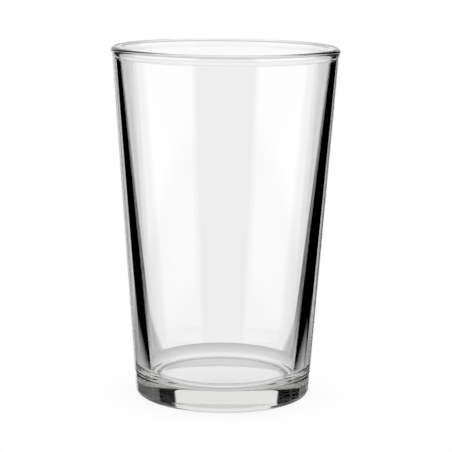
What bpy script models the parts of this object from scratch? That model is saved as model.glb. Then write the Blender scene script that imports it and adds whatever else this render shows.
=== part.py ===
"""A conical beer glass: one pressed piece of clear soda-lime glass.

The tumbler is turned from one closed profile. It runs from the middle of the drinking floor out to
the inner corner, up the inside, over the fire-polished rim, down the outside, round the heel and
back under the foot to the axis. Metres, +Z up, standing on z = 0 with the axis on Z.
"""

import math

import bpy

# Overall form, outside
HEIGHT = 0.112
TOP_RADIUS = 0.03592
FOOT_RADIUS = 0.02787

# Glass thicknesses
WALL_AT_RIM = 0.00215
WALL_AT_FLOOR = 0.0051
FLOOR_THICKNESS = 0.0071

# The rim: a fire-polished bead that stands a little proud of the wall outside
BEAD_PROUD = 0.00045
BEAD_FADE = 0.0023

# The inside of the foot
INNER_CORNER_RADIUS = 0.0035
FLOOR_DISH = 0.0001

# The underside: a rounded heel, a flat ring that the glass stands on, and a shallow recess inside the
# ring, with a soft edge and a top that rises slightly to the middle
HEEL_RADIUS = 0.0024
STANDING_RING_WIDTH = 0.0024
RECESS_DEPTH = 0.0006
RECESS_EDGE = 0.0008
PUSH_UP = 0.0003

# Facets
TURN_STEPS = 96
CROWN_STEPS = 10
FADE_STEPS = 6
CORNER_STEPS = 6
HEEL_STEPS = 6
RECESS_STEPS = 4
DISH_STEPS = 4


def outer_radius(z):
    """Outside of the plain tapered wall at height z."""
    return FOOT_RADIUS + (TOP_RADIUS - FOOT_RADIUS) * z / HEIGHT


def inner_radius(z):
    """Inside of the plain tapered wall at height z: the plunger tapers more than the mould."""
    share = (z - FLOOR_THICKNESS) / (HEIGHT - FLOOR_THICKNESS)
    wall = WALL_AT_FLOOR + (WALL_AT_RIM - WALL_AT_FLOOR) * share
    return outer_radius(z) - wall


def slope_angle(radius_at):
    """Angle by which a tapered wall leans out from the vertical."""
    return math.atan2(radius_at(HEIGHT) - radius_at(0), HEIGHT)


def arc(centre, radius, start, end, steps):
    """Points along an arc, both ends included. Angles count from +X towards +Z."""
    points = []
    for i in range(steps + 1):
        angle = start + (end - start) * i / steps
        points.append((centre[0] + radius * math.cos(angle), centre[1] + radius * math.sin(angle)))
    return points


def dome(rim_radius, rim_z, rise, steps):
    """Points of a shallow dome from its middle, on the axis, towards its rim. The rim is left out."""
    points = []
    for i in range(steps):
        share = i / steps
        points.append((rim_radius * share, rim_z + rise * (1 - share * share)))
    return points


def inner_corner():
    """The rounded corner between the drinking floor and the inside wall."""
    lean = slope_angle(inner_radius)
    centre_z = FLOOR_THICKNESS + INNER_CORNER_RADIUS
    centre_x = inner_radius(centre_z) - INNER_CORNER_RADIUS / math.cos(lean)
    return arc((centre_x, centre_z), INNER_CORNER_RADIUS, -math.pi / 2, -lean, CORNER_STEPS)


def crown():
    """The rounded top of the rim, from the inside wall over to the bead, tangent to both."""
    inner_lean = slope_angle(inner_radius)
    outer_lean = slope_angle(outer_radius)
    spread = 1 / math.cos(inner_lean) + 1 / math.cos(outer_lean)
    taper = (WALL_AT_FLOOR - WALL_AT_RIM) / (HEIGHT - FLOOR_THICKNESS)
    radius = (WALL_AT_RIM + BEAD_PROUD) / (spread - taper)
    centre_z = HEIGHT - radius
    centre_x = inner_radius(centre_z) + radius / math.cos(inner_lean)
    return arc((centre_x, centre_z), radius, math.pi - inner_lean, -outer_lean, CROWN_STEPS)


def bead_fade(crown_end):
    """The bead dying away into the outside wall, below the height where the crown ends."""
    points = []
    for i in range(1, FADE_STEPS + 1):
        share = i / FADE_STEPS
        z = crown_end - BEAD_FADE * share
        swell = BEAD_PROUD * (1 + math.cos(math.pi * share)) / 2
        points.append((outer_radius(z) + swell, z))
    return points


def heel():
    """The rounded edge between the outside wall and the ring that the glass stands on."""
    lean = slope_angle(outer_radius)
    centre_x = outer_radius(HEEL_RADIUS) - HEEL_RADIUS / math.cos(lean)
    return arc((centre_x, HEEL_RADIUS), HEEL_RADIUS, -lean, -math.pi / 2, HEEL_STEPS)


def recess(ring_inside):
    """The soft edge of the recess under the foot, from the standing ring up to the recessed face."""
    points = []
    for i in range(RECESS_STEPS + 1):
        share = i / RECESS_STEPS
        rise = RECESS_DEPTH * (1 - math.cos(math.pi * share)) / 2
        points.append((ring_inside - RECESS_EDGE * share, rise))
    return points


def profile():
    """The whole section, from the axis inside, over the rim, to the axis underneath."""
    corner = inner_corner()
    rim = crown()
    fade = bead_fade(rim[-1][1])
    foot = heel()
    floor = dome(corner[0][0], corner[0][1], -FLOOR_DISH, DISH_STEPS)
    step = recess(foot[-1][0] - STANDING_RING_WIDTH)
    underside = dome(step[-1][0], step[-1][1], PUSH_UP, DISH_STEPS)
    return floor + corner + rim + fade + foot + step + underside[::-1]


def clear_glass():
    """Clear soda-lime glass with the faintest grey-green cast."""
    material = bpy.data.materials.new("clear_glass")
    material.use_nodes = True
    shader = material.node_tree.nodes["Principled BSDF"]
    shader.inputs["Base Color"].default_value = (0.97, 0.98, 0.975, 1)
    shader.inputs["Metallic"].default_value = 0.0
    shader.inputs["Roughness"].default_value = 0.01
    shader.inputs["IOR"].default_value = 1.52
    shader.inputs["Transmission Weight"].default_value = 1.0
    return material


def turned(name, points, collection):
    """One object: a profile in the XZ plane, turned about Z by a Screw modifier."""
    mesh = bpy.data.meshes.new(name)
    edges = [(i, i + 1) for i in range(len(points) - 1)]
    mesh.from_pydata([(x, 0, z) for x, z in points], edges, [])
    piece = bpy.data.objects.new(name, mesh)
    collection.objects.link(piece)
    screw = piece.modifiers.new("turn", "SCREW")
    screw.axis = "Z"
    screw.angle = 2 * math.pi
    screw.steps = TURN_STEPS
    screw.render_steps = TURN_STEPS
    screw.use_merge_vertices = True
    screw.merge_threshold = 0.00001
    screw.use_smooth_shade = True
    return piece


def main():
    for old in list(bpy.data.objects):
        bpy.data.objects.remove(old)
    collection = bpy.data.collections.new("beer_glass")
    bpy.context.scene.collection.children.link(collection)
    tumbler = turned("tumbler", profile(), collection)
    tumbler.data.materials.append(clear_glass())


main()
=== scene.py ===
"""A conical beer glass of clear pressed glass, in front of a white sweep between two black flags."""

import math

import bpy
from mathutils import Matrix, Vector


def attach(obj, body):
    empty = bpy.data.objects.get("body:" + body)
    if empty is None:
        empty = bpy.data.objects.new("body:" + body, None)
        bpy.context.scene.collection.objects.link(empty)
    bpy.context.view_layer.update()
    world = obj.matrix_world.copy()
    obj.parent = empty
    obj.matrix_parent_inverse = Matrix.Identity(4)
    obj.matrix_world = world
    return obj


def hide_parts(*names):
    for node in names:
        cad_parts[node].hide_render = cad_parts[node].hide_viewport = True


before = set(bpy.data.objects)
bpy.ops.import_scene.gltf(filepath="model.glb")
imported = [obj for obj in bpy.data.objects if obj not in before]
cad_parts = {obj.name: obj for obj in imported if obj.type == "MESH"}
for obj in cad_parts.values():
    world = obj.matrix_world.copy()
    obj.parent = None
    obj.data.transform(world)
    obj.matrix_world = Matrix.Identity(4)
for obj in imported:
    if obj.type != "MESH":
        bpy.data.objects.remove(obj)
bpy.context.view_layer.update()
scene = bpy.context.scene

# The tumbler: one gob of clear soda-lime glass, pressed between a mould and a plunger and then
# fire-polished at the rim. The plunger tapers more than the mould, so the wall thickens downwards
# into a heavy foot, which stands on a flat ring round a shallow recess.
HEIGHT = 0.112
TOP_RADIUS = 0.03592
FOOT_RADIUS = 0.02787
WALL_AT_RIM = 0.00215
WALL_AT_FLOOR = 0.0051
FLOOR_THICKNESS = 0.0064
BEAD_PROUD = 0.00045
BEAD_FADE = 0.0023
FLOOR_RISE = 0.0008
CORNER_WIDTH = 0.0035
CORNER_RISE = 0.0042
HEEL_RADIUS = 0.0024
RING_WIDTH = 0.0024
RECESS_DEPTH = 0.0006
RECESS_EDGE = 0.0008
PUSH_UP = 0.0003
TURN_STEPS = 320
ARC_STEPS = 32
WALL_STEPS = 24
DISH_STEPS = 24
MERGE_WITHIN = 0.000001


def outer_radius(z):
    """Outside of the tapered wall at height z."""
    return FOOT_RADIUS + (TOP_RADIUS - FOOT_RADIUS) * z / HEIGHT


def inner_radius(z):
    """Inside of the tapered wall at height z."""
    share = (z - FLOOR_THICKNESS) / (HEIGHT - FLOOR_THICKNESS)
    return outer_radius(z) - WALL_AT_FLOOR - (WALL_AT_RIM - WALL_AT_FLOOR) * share


def arc(centre, radius, start, end):
    """Points along an arc, both ends included. Angles count from outwards towards up."""
    points = []
    for i in range(ARC_STEPS + 1):
        angle = start + (end - start) * i / ARC_STEPS
        points.append((centre[0] + radius * math.cos(angle), centre[1] + radius * math.sin(angle)))
    return points


def straight(start, end):
    """Points between two points, closer together towards both ends. The ends are left out."""
    points = []
    for i in range(1, WALL_STEPS):
        share = 0.5 - 0.5 * math.cos(math.pi * i / WALL_STEPS)
        points.append((start[0] + (end[0] - start[0]) * share, start[1] + (end[1] - start[1]) * share))
    return points


def tumbler_section():
    """The section from the middle of the floor, up inside, over the rim and back underneath."""
    inner_lean = math.atan2(inner_radius(HEIGHT) - inner_radius(0), HEIGHT)
    outer_lean = math.atan2(outer_radius(HEIGHT) - outer_radius(0), HEIGHT)

    corner_x = inner_radius(FLOOR_THICKNESS + CORNER_RISE) - CORNER_WIDTH
    corner = []
    for i in range(2 * ARC_STEPS + 1):
        angle = math.pi / 2 * i / (2 * ARC_STEPS)
        out = math.sin(angle)
        up = 1 - math.cos(angle)
        lean = math.tan(inner_lean) * CORNER_RISE * (up - 1) * out * out
        corner.append((corner_x + CORNER_WIDTH * out + lean, FLOOR_THICKNESS + CORNER_RISE * up))
    floor = []
    for i in range(DISH_STEPS):
        share = i / DISH_STEPS
        floor.append((corner_x * share, FLOOR_THICKNESS + FLOOR_RISE * (1 - share * share)))

    spread = 1 / math.cos(inner_lean) + 1 / math.cos(outer_lean)
    taper = (WALL_AT_FLOOR - WALL_AT_RIM) / (HEIGHT - FLOOR_THICKNESS)
    lip = (WALL_AT_RIM + BEAD_PROUD) / (spread - taper)
    lip_x = inner_radius(HEIGHT - lip) + lip / math.cos(inner_lean)
    crown = arc((lip_x, HEIGHT - lip), lip, math.pi - inner_lean, -outer_lean)
    bead = []
    for i in range(1, ARC_STEPS + 1):
        share = i / ARC_STEPS
        z = crown[-1][1] - BEAD_FADE * share
        bead.append((outer_radius(z) + BEAD_PROUD * (1 + math.cos(math.pi * share)) / 2, z))

    heel_x = outer_radius(HEEL_RADIUS) - HEEL_RADIUS / math.cos(outer_lean)
    heel = arc((heel_x, HEEL_RADIUS), HEEL_RADIUS, -outer_lean, -math.pi / 2)
    ring_x = heel[-1][0] - RING_WIDTH
    recess = [(ring_x, 0)]
    for i in range(1, ARC_STEPS + 1):
        share = i / ARC_STEPS
        recess.append((ring_x - RECESS_EDGE * share, RECESS_DEPTH * (1 - math.cos(math.pi * share)) / 2))
    underside = []
    for i in range(1, DISH_STEPS + 1):
        share = 1 - i / DISH_STEPS
        underside.append((recess[-1][0] * share, RECESS_DEPTH + PUSH_UP * (1 - share * share)))

    inner_wall = straight(corner[-1], crown[0])
    outer_wall = straight(bead[-1], heel[0])
    return floor + corner + inner_wall + crown + bead + outer_wall + heel + recess + underside


class Wire:
    """A value on its way through a shader tree. A sum written with wires adds Math nodes."""

    def __init__(self, socket):
        self.socket = socket

    @staticmethod
    def node(tree, kind, settings, inputs):
        """A new node: its settings first, then a number, a colour or a wire for each socket."""
        made = tree.nodes.new(kind)
        for name, value in settings.items():
            setattr(made, name, value)
        for name, value in inputs.items():
            if isinstance(value, Wire):
                tree.links.new(value.socket, made.inputs[name])
            else:
                made.inputs[name].default_value = value
        return made

    def maths(self, operation, first, second):
        """One Math node in this wire's tree."""
        tree = self.socket.id_data
        made = Wire.node(tree, "ShaderNodeMath", {"operation": operation}, {0: first, 1: second})
        return Wire(made.outputs[0])

    def __add__(self, other):
        return self.maths("ADD", self, other)

    def __radd__(self, other):
        return self.maths("ADD", other, self)

    def __sub__(self, other):
        return self.maths("SUBTRACT", self, other)

    def __rsub__(self, other):
        return self.maths("SUBTRACT", other, self)

    def __mul__(self, other):
        return self.maths("MULTIPLY", self, other)

    def __rmul__(self, other):
        return self.maths("MULTIPLY", other, self)


def clear_glass():
    """Clear soda-lime glass: a faint green from its iron, and the slow waves that a mould leaves."""
    index = 1.52
    iron_green = (0.86, 0.93, 0.72, 1)
    iron_density = 1.6
    wave_scale = 90
    wave_detail = 1.0
    wave_height = 0.000004
    material = bpy.data.materials.new("clear_glass")
    material.use_nodes = True
    tree = material.node_tree
    tree.nodes.clear()
    place = Wire(Wire.node(tree, "ShaderNodeTexCoord", {}, {}).outputs["Object"])
    wave = Wire.node(
        tree, "ShaderNodeTexNoise", {}, {"Vector": place, "Scale": wave_scale, "Detail": wave_detail}
    )
    bump = Wire.node(
        tree,
        "ShaderNodeBump",
        {},
        {"Height": Wire(wave.outputs["Fac"]), "Strength": 1.0, "Distance": wave_height},
    )
    glass = Wire.node(
        tree,
        "ShaderNodeBsdfPrincipled",
        {},
        {
            "Base Color": (1, 1, 1, 1),
            "Roughness": 0.0,
            "IOR": index,
            "Transmission Weight": 1.0,
            "Normal": Wire(bump.outputs["Normal"]),
        },
    )
    body = Wire.node(
        tree, "ShaderNodeVolumeAbsorption", {}, {"Color": iron_green, "Density": iron_density}
    )
    surface = Wire(glass.outputs[0])
    volume = Wire(body.outputs[0])
    Wire.node(tree, "ShaderNodeOutputMaterial", {}, {"Surface": surface, "Volume": volume})
    return material


section = tumbler_section()
section_mesh = bpy.data.meshes.new("clear_tumbler")
section_edges = [(i, i + 1) for i in range(len(section) - 1)]
section_mesh.from_pydata([(x, 0, z) for x, z in section], section_edges, [])
tumbler = bpy.data.objects.new("clear_tumbler", section_mesh)
scene.collection.objects.link(tumbler)
turn = tumbler.modifiers.new("turn", "SCREW")
turn.axis = "Z"
turn.angle = 2 * math.pi
turn.steps = TURN_STEPS
turn.render_steps = TURN_STEPS
turn.use_merge_vertices = True
turn.merge_threshold = MERGE_WITHIN
turn.use_smooth_shade = True
section_mesh.materials.append(clear_glass())
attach(tumbler, "root")
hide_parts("tumbler")

# The table: a white sweep, which runs on into the white behind the glass, with a faint painted shadow
# round the foot: its glow is darkened by an ambient occlusion node. The glass sees its top as part of
# the studio below.
TABLE_RADIUS = 0.6
TABLE_DROP = 0.00002
TABLE_SIDES = 128
SHADOW_REACH = 0.02
SHADOW_DEPTH = 0.10
SHADOW_SAMPLES = 16


def table_white():
    """White to the eye, darker where the glass is close, and out of the way of all other rays."""
    material = bpy.data.materials.new("white_table")
    material.use_nodes = True
    tree = material.node_tree
    tree.nodes.clear()
    ray = Wire.node(tree, "ShaderNodeLightPath", {}, {})
    open_sky = Wire.node(
        tree, "ShaderNodeAmbientOcclusion", {"samples": SHADOW_SAMPLES}, {"Distance": SHADOW_REACH}
    )
    # Painted shadow: the white glow is darkened where the ambient occlusion finds the glass close.
    painted_shadow = 1 - SHADOW_DEPTH + SHADOW_DEPTH * Wire(open_sky.outputs["AO"])
    glow = Wire.node(tree, "ShaderNodeEmission", {}, {"Color": (1, 1, 1, 1), "Strength": painted_shadow})
    away = Wire.node(tree, "ShaderNodeBsdfTransparent", {}, {"Color": (1, 1, 1, 1)})
    mix = Wire.node(
        tree,
        "ShaderNodeMixShader",
        {},
        {0: Wire(ray.outputs["Is Camera Ray"]), 1: Wire(away.outputs[0]), 2: Wire(glow.outputs[0])},
    )
    Wire.node(tree, "ShaderNodeOutputMaterial", {}, {"Surface": Wire(mix.outputs[0])})
    return material


table_points = []
for i in range(TABLE_SIDES):
    angle = 2 * math.pi * i / TABLE_SIDES
    table_points.append((TABLE_RADIUS * math.cos(angle), TABLE_RADIUS * math.sin(angle), -TABLE_DROP))
table_mesh = bpy.data.meshes.new("table")
table_mesh.from_pydata(table_points, [], [list(range(TABLE_SIDES))])
table_mesh.materials.append(table_white())
table = bpy.data.objects.new("table", table_mesh)
scene.collection.objects.link(table)

# The studio: a lit white sweep behind the glass, a black flag on each side of it with a grey outer end
# to draw the dark edges, soft white screens further round, a white table top below with painted shade
# in grey, a pale ceiling and a dim room at the camera's end. Bearings count from straight behind the
# glass, heights from level.
HORIZON = -16.9
HORIZON_BLUR = 0.4
SWEEP_LEFT = -24.5
SWEEP_RIGHT = 22.5
SWEEP_TOP = 24.0
SWEEP_TOP_BLUR = 1.0
SWEEP_WHITE = 1.0
SWEEP_PALE = 0.82
SWEEP_PALES_FROM = 1.0
SWEEP_PALES_TO = 9.0
OVER_SWEEP_DROP = 0.42
TABLE_NEAR = -44.0
TABLE_NEAR_SHADE = 0.95
TABLE_FAR_SHADE = 0.57
FLAG_BLACK = 0.0
FLAG_END = 72.0
FLAG_FOOT = -18.7
UP_TO = 100.0
DOWN_TO = -100.0
EDGE = 0.7

world = bpy.data.worlds.new("studio")
scene.world = world
world.use_nodes = True
studio = world.node_tree
studio.nodes.clear()
outlook = Wire(Wire.node(studio, "ShaderNodeTexCoord", {}, {}).outputs["Generated"])
parts = Wire.node(studio, "ShaderNodeSeparateXYZ", {}, {"Vector": outlook})
to_right = Wire(parts.outputs["X"])
to_back = Wire(parts.outputs["Y"])
to_top = Wire(parts.outputs["Z"])
bearing = to_right.maths("ARCTAN2", to_right, to_back) * math.degrees(1)
aside = bearing.maths("ABSOLUTE", bearing, 0)
height = to_top.maths("ARCSINE", to_top, 0) * math.degrees(1)


def ramp(value, start, end, low, high):
    """Low before the start, high after the end, and a steady change between."""
    stops = {"Value": value, "From Min": start, "From Max": end, "To Min": low, "To Max": high}
    return Wire(Wire.node(studio, "ShaderNodeMapRange", {}, stops).outputs["Result"])


def between(value, low, high, edge=EDGE):
    """1 between two limits and 0 outside them, with soft edges."""
    return ramp(value, low - edge, low + edge, 0, 1) * ramp(value, high - edge, high + edge, 1, 0)


def lay(under, level, across, up):
    """A panel laid over what is already there, where both of its masks are 1."""
    return under + (level - under) * (across * up)


sweep_level = ramp(height, SWEEP_PALES_FROM, SWEEP_PALES_TO, SWEEP_WHITE, SWEEP_PALE) - ramp(
    height, SWEEP_TOP - SWEEP_TOP_BLUR, SWEEP_TOP + SWEEP_TOP_BLUR, 0, OVER_SWEEP_DROP
)
# Painted shade: the white table top is seen grey below the horizon, darkest towards level, for the
# glass's shadow on the table round its foot.
shaded_table_top = ramp(height, TABLE_NEAR, HORIZON, TABLE_NEAR_SHADE, TABLE_FAR_SHADE)
over_horizon = ramp(height, HORIZON - HORIZON_BLUR, HORIZON + HORIZON_BLUR, 0, 1)
flags = between(aside, -FLAG_END, FLAG_END)

# What is seen straight through the glass: the sweep and the flags, and a pale table all round.
PALE_TABLE = 0.88
PALE_TABLE_TO = -20.0
WHITE_FROM = -14.0
TABLE_LEFT = -30.0
TABLE_RIGHT = 26.0
TABLE_BLUR = 4.0

straight_on = ramp(height, PALE_TABLE_TO, WHITE_FROM, PALE_TABLE, SWEEP_WHITE)
straight_on = lay(straight_on, FLAG_BLACK, flags, between(height, FLAG_FOOT, UP_TO))
behind = between(bearing, TABLE_LEFT, TABLE_RIGHT, TABLE_BLUR)
straight_on = lay(straight_on, shaded_table_top, behind, 1 - over_horizon)
straight_on = lay(straight_on, sweep_level, between(bearing, SWEEP_LEFT, SWEEP_RIGHT), over_horizon)

# What the glass throws back once or twice: the same, with the screens, the ceiling and the dim room.
WIDENS_FROM = 3.0
WIDENS_TO = 8.0
WIDER_LEFT = 4.5
THROWN_RIGHT = 17.0
WIDER_RIGHT = 6.0
FLAG_DROPS_FROM = 30.0
FLAG_DROPS_TO = 60.0
FLAG_DROP = 4.5
ROOM_DIM = 0.05
ROOM_PALE = 0.45
ROOM_PALES_TO = 6.0
BESIDE_NEAR = -40.0
BESIDE_FAR = -34.0
BESIDE_NEAR_SHADE = 0.4
BESIDE_FAR_SHADE = 0.55
GREY_LEFT = -53.0
GREY_LEFT_LEVEL = 0.17
GREY_RIGHT = 35.0
GREY_RIGHT_LEVEL = 0.11
GREY_FOOT = 11.0
GREY_TOP = 20.0
THROWN_TABLE_LEFT = -26.5
THROWN_TABLE_RIGHT = 20.0
SCREEN_END = 146.0
SCREEN_FOOT = -19.5
SCREEN_LOW_LEVEL = 1.0
SCREEN_HIGH_LEVEL = 0.6
SCREEN_BLUR = 1.0
UNDER_FOOT = -43.0
UNDER_FOOT_SHADE = 0.58
UNDER_FOOT_BLUR = 2.0
CEILING = 42.0
CEILING_LEVEL = 0.9

wall_left = SWEEP_LEFT - ramp(height, WIDENS_FROM, WIDENS_TO, 0, WIDER_LEFT)
wall_right = THROWN_RIGHT + ramp(height, WIDENS_FROM, WIDENS_TO, 0, WIDER_RIGHT)
low_flag = ramp(aside, FLAG_DROPS_FROM, FLAG_DROPS_TO, FLAG_FOOT, FLAG_FOOT - FLAG_DROP)
room = ramp(height, 0, ROOM_PALES_TO, ROOM_DIM, ROOM_PALE)
# Painted shade: the table under the flags is seen darker, as the flags' shadow on it.
shaded_table_beside = ramp(height, BESIDE_NEAR, BESIDE_FAR, BESIDE_NEAR_SHADE, BESIDE_FAR_SHADE)
thrown = lay(room, shaded_table_beside, flags, 1 - over_horizon)
thrown = lay(thrown, FLAG_BLACK, flags, between(height, low_flag, UP_TO))
grey_end = between(height, GREY_FOOT, GREY_TOP)
thrown = lay(thrown, GREY_LEFT_LEVEL, between(bearing, -FLAG_END, GREY_LEFT), grey_end)
thrown = lay(thrown, GREY_RIGHT_LEVEL, between(bearing, GREY_RIGHT, FLAG_END), grey_end)
table_behind = between(bearing, THROWN_TABLE_LEFT, THROWN_TABLE_RIGHT)
thrown = lay(thrown, shaded_table_top, table_behind, 1 - over_horizon)
thrown = lay(thrown, sweep_level, between(bearing, wall_left, wall_right), over_horizon)
screens = between(aside, FLAG_END, SCREEN_END)
screen_level = ramp(height, -SCREEN_BLUR, SCREEN_BLUR, SCREEN_LOW_LEVEL, SCREEN_HIGH_LEVEL)
thrown = lay(thrown, FLAG_BLACK, screens, between(height, DOWN_TO, SCREEN_FOOT))
thrown = lay(thrown, screen_level, screens, between(height, SCREEN_FOOT, UP_TO))
# Painted shadow: straight down, the white table under the foot is seen grey, as the glass's shadow on
# it.
thrown = lay(thrown, UNDER_FOOT_SHADE, 1, between(height, DOWN_TO, UNDER_FOOT, UNDER_FOOT_BLUR))
thrown = lay(thrown, CEILING_LEVEL, 1, between(height, CEILING, UP_TO))

# What has been thrown back three times or more comes from all over the studio, so it is only belts:
# floor, dark, level light, dark and ceiling.
DEEP_LEVEL = 0.75
LOW_BELT = (-26.0, -8.0)
HIGH_BELT = (8.0, 30.0)
DEEP_CEILING_LEVEL = 0.4

deep = lay(DEEP_LEVEL, FLAG_BLACK, 1, between(height, LOW_BELT[0], LOW_BELT[1]))
deep = lay(deep, FLAG_BLACK, 1, between(height, HIGH_BELT[0], HIGH_BELT[1]))
deep = lay(deep, DEEP_CEILING_LEVEL, 1, between(height, CEILING, UP_TO))

# The camera sees plain white, and the glass sees the level for the times that a ray was thrown back.
ONE_THROW = 0.5
THREE_THROWS = 2.5

path = Wire.node(studio, "ShaderNodeLightPath", {}, {})
throws = Wire(path.outputs["Glossy Depth"])
glow = straight_on + (thrown - straight_on) * throws.maths("GREATER_THAN", throws, ONE_THROW)
glow = glow + (deep - glow) * throws.maths("GREATER_THAN", throws, THREE_THROWS)
seen = Wire(path.outputs["Is Camera Ray"])
level = seen + (1 - seen) * glow
light = Wire.node(studio, "ShaderNodeBackground", {}, {"Color": (1, 1, 1, 1), "Strength": level})
Wire.node(studio, "ShaderNodeOutputWorld", {}, {"Surface": Wire(light.outputs[0])})

# The camera: a long lens a little above the rim, tipped down at the middle of the glass.
SENSOR = 36.0
LENS = 147.88
DISTANCE = 0.59463
DOWN = 0.1722
AIM = (0.00068, 0.0, 0.0546)
ROLL = 0.0104
NEAREST = 0.01
FARTHEST = 100.0
BOUNCES = 24

lens = bpy.data.cameras.new("camera")
lens.sensor_width = SENSOR
lens.lens = LENS
lens.clip_start = NEAREST
lens.clip_end = FARTHEST
camera = bpy.data.objects.new("camera", lens)
back = Vector((0, -math.cos(DOWN), math.sin(DOWN)))
facing = (-back).to_track_quat("-Z", "Y")
camera.rotation_mode = "QUATERNION"
camera.rotation_quaternion = facing @ Matrix.Rotation(ROLL, 3, "Z").to_quaternion()
camera.location = Vector(AIM) + back * DISTANCE
scene.collection.objects.link(camera)
scene.camera = camera

scene.view_settings.view_transform = "Standard"
scene.cycles.max_bounces = BOUNCES
scene.cycles.transmission_bounces = BOUNCES
scene.cycles.glossy_bounces = BOUNCES

bpy.context.view_layer.update()
